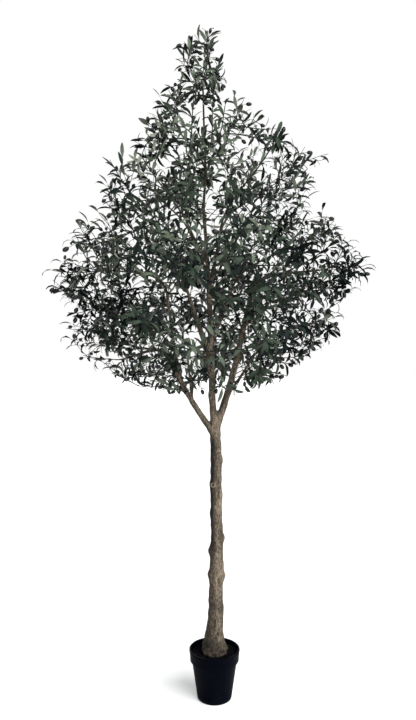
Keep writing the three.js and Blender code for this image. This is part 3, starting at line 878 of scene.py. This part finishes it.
def blade_points(root, direction, normal, length, width, bend, thickness):
    """The points of one leaf that bends back from its normal by an angle in all."""
    side = np.cross(normal, direction)
    angles = bend * BLADE_STATIONS**BLADE_CURL
    middle = (angles[1:] + angles[:-1]) / 2
    steps = np.diff(BLADE_STATIONS) * length
    out = np.concatenate([[0], np.cumsum(np.cos(middle) * steps)])
    back = np.concatenate([[0], np.cumsum(np.sin(middle) * steps)])
    centres = root + out[:, None] * direction - back[:, None] * normal
    normals = np.cos(angles)[:, None] * normal + np.sin(angles)[:, None] * direction
    half = BLADE_WIDTHS * width / 2
    points = [centres[0]]
    for centre, up, reach_out in zip(centres[1:-1], normals[1:-1], half[1:-1]):
        edge = centre + up * reach_out * BLADE_FOLD
        points += [edge + side * reach_out, edge - side * reach_out,
                   centre + up * thickness / 2, centre - up * thickness / 2]
    return np.array([*points, centres[-1]])


def olive_shape(rings=6, sides=8):
    """An olive about its own middle, its long axis along X, with its length 1 and its width 1."""
    points = [(-0.5, 0, 0)]
    for i in range(1, rings):
        angle = math.pi * i / rings
        for j in range(sides):
            turn = 2 * math.pi * j / sides
            points.append((-0.5 * math.cos(angle), 0.5 * math.sin(angle) * math.cos(turn),
                           0.5 * math.sin(angle) * math.sin(turn)))
    points.append((0.5, 0, 0))
    return np.array(points), tube_faces(rings - 1, sides, 0, len(points) - 1, first=1)


OLIVE_POINTS, OLIVE_FACES = olive_shape()


def pick(shares, number):
    """The place in a list of shares that a number from 0 to 1 falls in."""
    return int(np.searchsorted(np.cumsum(shares), number * sum(shares)).clip(0, len(shares) - 1))


def painted_shade(point, number):
    """A spray's painted shade, from about 0 to 1: darker towards the crown's edge, most of all at its left
    and right, and palest at the top and at the front, as light falls there."""
    radii, outline = crown_radii(point[None])
    aside = abs(point[0] - trunk_line(point[2])[0])
    ahead = max(-point[1], 0)
    outward = (PAINTED_SHADE["outward"] * radii[0] + PAINTED_SHADE["ahead"] * ahead) / outline[0]
    outward += PAINTED_SHADE["aside"] * (aside / outline[0]) ** 2
    varies = PAINTED_SHADE["varies"] * (number - 0.5)
    return PAINTED_SHADE["start"] + outward + np.interp(point[2], *PAINTED_SHADE_HEIGHTS) + varies


class Growth:
    """What has grown in one mass, and the stream of numbers that deals it out."""

    def __init__(self, mass):
        self.numbers = seeded(mass.seed)
        self.leaves, self.twigs, self.olives = Builder(), Builder(), Builder()


def dress(curve, bare, growth):
    """Puts leaves on a shoot in opposite pairs, each pair a quarter turn on from the last, with one more at
    the tip, and sometimes an olive on its stalk."""
    numbers = growth.numbers
    # The top colour is painted shade, dealt out by where the spray is in the crown.
    top = int(np.searchsorted(TOP_LIMITS, painted_shade(curve.at(PAINTED_SHADE["taken_at"]), next(numbers))))
    under = len(LEAF_TOPS) + pick(UNDER_SHARES, next(numbers))
    looks = [top] * len(BLADE_ABOVE) + [under] * len(BLADE_BELOW)
    pairs = max(2, round(curve.length * (1 - bare) / LEAF["spacing"]))
    turn = 2 * math.pi * next(numbers)
    shares = bare + (1 - bare) * (np.arange(pairs) + LEAF["first"]) / pairs
    for number, share in enumerate(shares[:-1]):
        point, along = curve.at(share), curve.along(share)
        angle = turn + number * math.pi / 2 + LEAF["turn_varies"] * (next(numbers) - 0.5)
        across = turned_round(along, angle)
        widest = np.interp(point[2], LOOSE_TO_TIGHT, LEAF["spread"])
        for sign in (1, -1):
            spread = widest * between(LEAF["spread_varies"], next(numbers))
            rise = UP * LEAF["rise_varies"] * (next(numbers) - 0.5)
            add_leaf(point, unit(along + across * sign * spread + rise), along, looks, growth)
    tip, along = curve.at(1.0), curve.along(1.0)
    leant = unit(UP + LEAF["tip_leans"] * unit(np.cross(along, UP)))
    facing = blend(leant, along, LEAF["tip_faces_on"])
    add_leaf(tip, along, facing, looks, growth)
    if next(numbers) < OLIVE["share"]:
        add_olive(curve, between(OLIVE["on_shoot"], next(numbers)), growth)


def add_leaf(root, direction, facing, looks, growth):
    """One leaf, its upper side turned towards the tip of its shoot, unless it would leave the crown."""
    numbers = growth.numbers
    length = between(LEAF["length"], next(numbers))
    width = between(LEAF["width"], next(numbers))
    bend = np.interp(root[2], LOOSE_TO_TIGHT, LEAF["bend"]) + LEAF["bend_varies"] * (2 * next(numbers) - 1)
    roll = LEAF["roll_varies"] * (next(numbers) - 0.5)
    facing = facing + LEAF["faces_up"] * UP
    normal = unit(facing - direction * (facing @ direction))
    normal = normal * math.cos(roll) + np.cross(normal, direction) * math.sin(roll)
    points = blade_points(root, direction, normal, length, width, bend, LEAF["thickness"])
    rib = points[BLADE_RIB]
    left_out = max(np.interp(root[2], *THINNING), WOOD_SHOWS["share"] if hides_wood(rib) else 0)
    if next(numbers) < left_out:
        return
    lifted = rib + UP * np.interp(rib[:, 2], *HANG)[:, None]
    inside = in_crown(lifted, -LEAF["beyond"]) & in_outline(rib, -LEAF["beyond"]) & in_reach(rib)
    if (inside & clear_of_limbs(rib, LEAF["limb_margin"])).all():
        growth.leaves.add(points, BLADE_ABOVE + BLADE_BELOW, looks)


def add_olive(curve, share, growth):
    """One olive at the end of a short stalk that hangs from a shoot, where it has room."""
    numbers = growth.numbers
    foot, along = curve.at(share), curve.along(share)
    out = turned_round(along, 2 * math.pi * next(numbers))
    hang = unit(out + OLIVE["forward"] * along + UP * between(OLIVE["rises"], next(numbers)))
    stalk = between(OLIVE["stalk"], next(numbers))
    size = between(OLIVE["sizes"], next(numbers))
    end = foot + hang * stalk
    middle = end + hang * OLIVE["length"] * size * OLIVE["seat"]
    inside = in_crown(middle[None], OLIVE["edge_margin"])
    if not (inside & clear_of_limbs(middle[None], OLIVE["limb_margin"]))[0]:
        return
    other = unit(np.cross(hang, UP + 0.01))
    axes = np.array([hang, other, np.cross(hang, other)])
    scale = np.array([OLIVE["length"], OLIVE["width"], OLIVE["width"]]) * size
    growth.olives.add(middle + (OLIVE_POINTS * scale) @ axes, OLIVE_FACES, 0)
    line = np.array([foot, (foot + end) / 2 - UP * OLIVE["sags"], end + hang * OLIVE["enters"]])
    growth.twigs.add_tube(line, OLIVE["stalk_radii"], OLIVE["stalk_sides"], 1)


def add_shoot(curve, radii, facts, growth, look=1):
    """A shoot as a tapering tube. A stem's foot is sunk into what carries it."""
    shares = np.linspace(0, 1, max(3, math.ceil(curve.length / facts["step"])) + 1)
    centres = curve.at(shares)
    if "sunk" in facts:
        centres = np.vstack([centres[0] - curve.along(0.0) * facts["sunk"], centres])
        shares = np.concatenate([[0.0], shares])
    growth.twigs.add_tube(centres, between(radii, shares), facts["sides"], look)


def add_dressed(curve, facts, growth):
    """A shoot of the finer growth with its leaves and its olive."""
    add_shoot(curve, (facts["foot_radius"], facts["tip_radius"]), facts, growth)
    dress(curve, facts["bare"], growth)


def grow_mass(mass):
    """The stem, twigs, sprays, leaves and olives of a mass, each kind joined into one piece."""
    growth = Growth(mass)
    stem = stem_curve(mass)
    foot_radius = limbs[mass.name]["radii"][1] if mass.tip is not None else mass.girth
    add_shoot(stem, (foot_radius, min(foot_radius, STEM["tip_radius"]) * STEM["slimmer"]), STEM, growth, 0)
    first = grow_twigs(mass, stem, growth.numbers)
    for curve in first:
        add_shoot(curve, (TWIG["foot_radius"], TWIG["tip_radius"] * TWIG["slimmer"]), TWIG, growth)
    mains, sides = grow_sprays(mass, [stem, *first, *limbs_in_space(mass)], growth.numbers)
    for curves, facts in ((mains, SPRAY), (sides, SHOOT)):
        for curve in curves:
            add_dressed(curve, facts, growth)
    for name, limb, height, tip in LOW_SHOOTS:
        if name == mass.name:
            low = low_shoot(limb, height, np.array(tip, dtype=float))
            add_dressed(low, LOW_SHOOT, growth)
            sides = grow_side_shoots(mass, low, SHOOT["count"][1], growth.numbers)
            for side in sides[-LOW_SHOOT["side_shoots"]:]:
                add_dressed(side, SHOOT, growth)
    for curve in first:
        dress(curve, TWIG["bare"], growth)
    dress(stem, STEM["bare"], growth)
    for kind, builder, looks, sharp in (
        ("leaves", growth.leaves, LEAF_TOPS + LEAF_UNDERS, LEAF_SHARP),
        ("twigs", growth.twigs, [STEM_LOOK, TWIG_LOOK], None),
        ("olives", growth.olives, [OLIVE_LOOK], None),
    ):
        if builder.count:
            name = f"{kind}_{mass.name}"
            piece(name, builder.mesh(name), looks, [f"foliage_{mass.name}"], sharp)


# The trunk and boughs.

# Boughs with a foot at least as thick as heavy flow out of the trunk, in one mesh with it. Above that mesh,
# and a little way down into it, the leader stands with the slimmer boughs. Near is how far from its line the
# trunk's own points lie, as a share of its radius, and how much further. Rough is for the slimmer boughs.
BARK = {
    "step": 6.0, "voxel": 3.0, "ease": 0.5, "times_eased": 6, "heavy": 12, "flows_to": 2150,
    "stands_from": 2130, "trunk_sides": 40, "heavy_sides": 24, "slim_sides": 16, "near": (1.3, 3),
    "rough": 0.35, "radii_window": 3, "line_window": 9,
}
SCAR = {"rim": 3.4, "pit": 3.0, "pit_share": 0.55, "flattened": 0.8}
COLLAR = {"thicker": 0.45, "length": 1.6}
# The size of each kind of cloud in the bark's relief, and how far it stands out.
RELIEF = {
    "lump": 30, "lumps": 2.2, "more_at_foot": 1.5, "foot_lump": 16, "foot_lumps": 4.5, "ridge": (11, 55),
    "ridges": 1.1, "grain": 9, "grains": 0.5,
}
FOOT = (265, 15)  # the top of the trunk's lumpy foot, and the height in which its lumps fade in
FADE = ((1200, 2100), (1.0, 0.5))  # heights, and the strength of the relief there
FLAT = 2  # the trunk's cut end stays flat this far up


def knot_bulge(directions, heights):
    """How far the bark swells at these directions and heights."""
    total = np.zeros_like(heights)
    for height, azimuth, bulge in KNOTS:
        facing = np.maximum(directions @ azimuth_vector(azimuth), 0)
        total += bulge * facing**2 * np.exp(-(((heights - height) / KNOT_SPREAD) ** 2))
    return total


def scar_relief(directions, heights, radii):
    """How far the rims of the scars stand out, and how deep their middles are."""
    total = np.zeros_like(heights)
    for height, azimuth, size in SCARS:
        facing = directions @ azimuth_vector(azimuth)
        away = np.hypot(np.arccos(np.clip(facing, -1, 1)) * radii, (heights - height) * SCAR["flattened"])
        total += SCAR["rim"] * np.exp(-(((away - size) / SCAR["rim"]) ** 2))
        total -= SCAR["pit"] * np.exp(-((away / (size * SCAR["pit_share"])) ** 2))
    return total


def collar(distances, radius):
    """How much thicker a bough is near its foot, where it flows out of what carries it."""
    return 1 + COLLAR["thicker"] * np.exp(-distances / (COLLAR["length"] * radius))


def relief(point, foot):
    """How far the bark stands out at a point: broad lumps, more of them at the foot, then ridges that run
    along the limb."""
    here = Vector(point)
    lumps = noise.noise(here / RELIEF["lump"]) * (1 + RELIEF["more_at_foot"] * foot)
    lumps += RELIEF["foot_lumps"] * foot * noise.noise(here / RELIEF["foot_lump"])
    around, along = RELIEF["ridge"]
    ridges = 0.5 - abs(noise.noise(Vector((point[0] / around, point[1] / around, point[2] / along))))
    fine = noise.noise(here / RELIEF["grain"])
    return RELIEF["lumps"] * lumps + RELIEF["ridges"] * (ridges - 0.25) + RELIEF["grains"] * fine


def is_heavy(limb):
    return limb["radii"][0] >= BARK["heavy"]


def smoothed(values, window):
    """A running mean, with the ends held."""
    return np.convolve(np.pad(values, window // 2, mode="edge"), np.ones(window) / window, mode="valid")


def bark_meshes():
    """The trunk with its two heavy boughs flowing out of it, and the slimmer boughs standing in it."""
    heavy, slim = Builder(), Builder()
    heights = np.arange(TRUNK_PROFILE[0, 0], TRUNK_TOP, BARK["step"])
    radii = smoothed(trunk_radius(heights), BARK["radii_window"])
    line = trunk_line(heights)
    line[:, 0] = smoothed(line[:, 0], BARK["line_window"])
    low, high = heights < BARK["flows_to"], heights > BARK["stands_from"]
    heavy.add_tube(line[low], radii[low], BARK["trunk_sides"])
    slim.add_tube(line[high], radii[high], BARK["slim_sides"])
    for limb in limbs.values():
        curve = limb["curve"]
        shares = np.linspace(0, 1, math.ceil(curve.length / BARK["step"]) + 1)
        radii = between(limb["radii"], shares) * collar(shares * curve.length, limb["radii"][0])
        builder, sides = (heavy, BARK["heavy_sides"]) if is_heavy(limb) else (slim, BARK["slim_sides"])
        builder.add_tube(curve.at(shares), radii, sides)
    trunk = add_object("bark_draft", heavy.mesh("bark_draft"))
    remesh = trunk.modifiers.new("flow", "REMESH")
    remesh.mode = "VOXEL"
    remesh.voxel_size = BARK["voxel"] * MM
    smooth = trunk.modifiers.new("ease", "SMOOTH")
    smooth.factor = BARK["ease"]
    smooth.iterations = BARK["times_eased"]
    flowing = bpy.data.meshes.new_from_object(trunk.evaluated_get(bpy.context.evaluated_depsgraph_get()))
    flowing.name = "bark_trunk"
    bpy.data.objects.remove(trunk)
    shape_bark(flowing, 1.0, swells=True)
    standing = slim.mesh("bark_boughs")
    shape_bark(standing, BARK["rough"])
    return flowing, standing


def shape_bark(mesh, rough, swells=False):
    """Moves a bark mesh's points out to its relief, and the trunk's to their knots and scars too."""
    points = np.empty(len(mesh.vertices) * 3)
    normals = np.empty(len(mesh.vertices) * 3)
    mesh.vertices.foreach_get("co", points)
    mesh.vertex_normals.foreach_get("vector", normals)
    points = points.reshape(-1, 3) / MM
    normals = normals.reshape(-1, 3)
    heights = points[:, 2]
    if swells:
        out = points - trunk_line(heights)
        away = np.linalg.norm(out, axis=1)
        on_trunk = away < trunk_radius(heights) * BARK["near"][0] + BARK["near"][1]
        directions = out / np.maximum(away[:, None], 1e-9)
        swell = knot_bulge(directions, heights) + scar_relief(directions, heights, trunk_radius(heights))
        points = points + directions * (swell * on_trunk)[:, None]
    at_foot = np.clip((FOOT[0] - heights) / FOOT[1], 0, 1)
    strength = rough * np.interp(heights, *FADE)
    moves = np.array([relief(point, foot) for point, foot in zip(points.tolist(), at_foot)])
    free = heights > TRUNK_PROFILE[0, 0] + FLAT
    points = points + normals * (moves * strength * free)[:, None]
    mesh.vertices.foreach_set("co", (points * MM).ravel())
    mesh.polygons.foreach_set("use_smooth", [True] * len(mesh.polygons))
    mesh.update()


# The pot.

ROUND_SIDES = 128
POT_SHARP = 40  # degrees between faces, over which an edge is sharp


def turned(section, sides, name):
    """A round mesh from half its section, as radius and height pairs in millimetres."""
    angles = np.linspace(0, 2 * np.pi, sides, endpoint=False)
    around = np.stack([np.cos(angles), np.sin(angles)], axis=1)
    rings = [np.column_stack([r * around, np.full(sides, z)]) for r, z in section]
    points = np.vstack([*rings, [0, 0, section[0][1]], [0, 0, section[-1][1]]])
    builder = Builder()
    builder.add(points, tube_faces(len(section), sides, len(points) - 2, len(points) - 1), 0)
    return builder.mesh(name)


def rounded(corner, radius, start, end, steps=5):
    """Points along a quarter round inside a corner of a section, from one angle to another, in degrees."""
    angles = np.radians(np.linspace(start, end, steps))
    return [(corner[0] + radius * math.cos(a), corner[1] + radius * math.sin(a)) for a in angles]


def pot_mesh():
    """The pot, by its section: hollowed underside, low bead, wall, band's edge, rounded lip and inside."""
    base, shoulder, skirt, rim = (POT[f"{part}_radius"] for part in ("base", "shoulder", "skirt", "rim"))
    height, wall, foot, floor = (POT[measure] for measure in ("height", "wall", "foot", "floor"))
    step = height - POT["rim_band"]
    hollow, bead, edge, lip = 1.2, 0.5, 2, 1.5

    def outside(z):
        return base + (shoulder - base) * (z - foot) / (step - foot)

    def inside(z):
        return base + (shoulder - base) * z / step - wall

    return turned([
        (base - 9, hollow), (base - 8, 0), *rounded((base - foot, foot), foot, -90, 0),
        (outside(12), 12), (outside(12.8) + bead, 12.8), (outside(15) + bead, 15), (outside(15.8), 15.8),
        (outside(80), 80), (outside(step - 14), step - 14), (outside(step - 3) + 0.3, step - 3),
        *rounded((skirt - edge, step + 1.4), edge, -90, 0), (skirt + 0.4, step + 12),
        (rim - 1.2, height - 12), (rim - 0.4, height - 9.5), (rim, height - 8),
        *rounded((rim - edge, height - edge), edge, 0, 90), (rim - 4.5, height),
        *rounded((rim - 5, height - lip), lip, 90, 180), (inside(step + 8) + 3, step + 14),
        (inside(step), step), (inside(40), 40), (inside(floor), floor),
    ], ROUND_SIDES, "pot_moulded")


# The fill's floor, the top of its side, the level and lumps of its top, and the crumbs on that.
FILL = {
    "floor": 7.0, "side_top": 150.0, "level": FILL_TOP - 1.5, "gap": 0.3, "rings": 26, "sides": 96,
    "lump": 12, "lumps": 3.0, "crumbs": 2600, "crumb": (1.2, 3.6), "squash": (0.7, 1.3), "from_middle": 50,
    "from_wall": 3, "seed": 7,
}
CRUMB_POINTS = np.array([(1, 0, 0), (-1, 0, 0), (0, 1, 0), (0, -1, 0), (0, 0, 1), (0, 0, -1)], dtype=float)
CRUMB_FACES = [(0, 2, 4), (2, 1, 4), (1, 3, 4), (3, 0, 4), (2, 0, 5), (1, 2, 5), (3, 1, 5), (0, 3, 5)]


def on_fill(radius, angle):
    """A point on the fill's uneven top."""
    x, y = radius * math.cos(angle), radius * math.sin(angle)
    return x, y, FILL["level"] + FILL["lumps"] * noise.noise(Vector((x, y, 5)) / FILL["lump"])


def fill_mesh():
    """The black fill: an uneven round bed with crumbs on it, round the foot of the trunk."""
    base, shoulder, clear = POT["base_radius"], POT["shoulder_radius"], POT["wall"] + FILL["gap"]
    radius = base + (shoulder - base) * FILL_TOP / (POT["height"] - POT["rim_band"]) - clear
    rings, sides = FILL["rings"], FILL["sides"]
    angles = np.linspace(0, 2 * np.pi, sides, endpoint=False)
    side = [
        (60, FILL["floor"]), (base - POT["wall"] + 0.6, FILL["floor"]),
        (shoulder - clear - 2, FILL["side_top"]), (radius, FILL["level"]),
    ]
    points = [(0.0, 0.0, FILL["floor"])]
    points += [(r * math.cos(angle), r * math.sin(angle), z) for r, z in side for angle in angles]
    points += [on_fill(radius * (1 - i / rings), angle) for i in range(1, rings) for angle in angles]
    points.append((0.0, 0.0, FILL["level"]))
    builder = Builder()
    faces = tube_faces(len(side) + rings - 1, sides, 0, len(points) - 1, first=1)
    builder.add(np.array(points), faces, 0)
    numbers = seeded(FILL["seed"])
    for _ in range(FILL["crumbs"]):
        r = math.sqrt(between((FILL["from_middle"]**2, (radius - FILL["from_wall"]) ** 2), next(numbers)))
        middle = np.array(on_fill(r, 2 * math.pi * next(numbers)))
        size = between(FILL["crumb"], next(numbers) ** 2)
        squash = np.array([between(FILL["squash"], next(numbers)) for _ in range(3)])
        turn = 2 * math.pi * next(numbers)
        c, s = math.cos(turn), math.sin(turn)
        spin = np.array([[c, s, 0], [-s, c, 0], [0, 0, 1]])
        builder.add(middle + (CRUMB_POINTS * squash * size) @ spin, CRUMB_FACES, 0)
    return builder.mesh("fill_crumbs")


# Everything in its place.

trunk_mesh, boughs_mesh = bark_meshes()
heavy_nodes = [f"bough_{name}" for name, limb in limbs.items() if is_heavy(limb)]
slim_nodes = [f"bough_{name}" for name, limb in limbs.items() if not is_heavy(limb)]
piece("bark_trunk", trunk_mesh, [BARK_LOOK], ["trunk", *heavy_nodes])
piece("bark_boughs", boughs_mesh, [BARK_LOOK], ["trunk", *slim_nodes])
for mass in masses:
    grow_mass(mass)
piece("pot_moulded", pot_mesh(), [pot_material()], ["pot"], POT_SHARP)
piece("fill_crumbs", fill_mesh(), [fill_material()], ["pot_fill"])


# The stage: a pale floor, a pale backdrop that only the camera sees, three soft suns and a dim sky.

FLOOR_REACH = 60
BACKDROP_RADIUS = 55


def stage_plane():
    mesh = bpy.data.meshes.new("floor")
    corners = [(-1, -1), (1, -1), (1, 1), (-1, 1)]
    mesh.from_pydata([(FLOOR_REACH * x, FLOOR_REACH * y, 0) for x, y in corners], [], [(0, 1, 2, 3)])
    floor = add_object("floor", mesh)
    white = plain_material("floor_white", (0.95, 0.95, 0.95, 1), 0.9, 0.0)
    glow = white.node_tree.nodes["Principled BSDF"].inputs
    glow["Emission Color"].default_value = WHITE
    glow["Emission Strength"].default_value = 0.2
    mesh.materials.append(white)
    floor.visible_diffuse = False


def stage_backdrop():
    bpy.ops.mesh.primitive_uv_sphere_add(segments=48, ring_count=24, radius=BACKDROP_RADIUS)
    dome = bpy.context.object
    dome.name = "backdrop"
    material = bpy.data.materials.new("backdrop_white")
    material.use_nodes = True
    tree = material.node_tree
    tree.nodes.clear()
    glow = tree.nodes.new("ShaderNodeEmission")
    glow.inputs["Color"].default_value = WHITE
    output = tree.nodes.new("ShaderNodeOutputMaterial")
    tree.links.new(glow.outputs["Emission"], output.inputs["Surface"])
    dome.data.materials.append(material)
    dome.visible_diffuse = dome.visible_glossy = dome.visible_shadow = False
    dome.visible_transmission = dome.visible_volume_scatter = False


def sun(name, strength, azimuth, elevation, angle):
    """A sun that shines from an azimuth, measured as the trunk's are, and an elevation, in degrees."""
    light = bpy.data.lights.new(name, "SUN")
    light.energy = strength
    light.angle = math.radians(angle)
    obj = add_object(name, light)
    a, e = math.radians(azimuth), math.radians(elevation)
    shines_from = Vector((math.cos(a) * math.cos(e), math.sin(a) * math.cos(e), math.sin(e)))
    obj.rotation_euler = shines_from.to_track_quat("Z", "Y").to_euler()


stage_plane()
stage_backdrop()
sun("key", 4.3, -42, 38, 60)
sun("fill", 2.0, -88, 7, 30)
sun("back", 1.6, 105, 15, 40)
world = bpy.data.worlds.new("sky")
world.use_nodes = True
world.node_tree.nodes["Background"].inputs["Color"].default_value = (0.95, 0.97, 1.0, 1)
world.node_tree.nodes["Background"].inputs["Strength"].default_value = 0.2
bpy.context.scene.world = world
bpy.context.scene.view_settings.view_transform = "Standard"

camera = bpy.data.cameras.new("camera")
camera.sensor_width = 36
camera.lens = camera.sensor_width * FOCAL_LENGTH / LONG_SIDE
camera.clip_end = 200
camera_object = add_object("camera", camera)
camera_object.location = EYE * MM
camera_object.rotation_euler = (math.radians(90), 0, 0)
bpy.context.scene.camera = camera_object
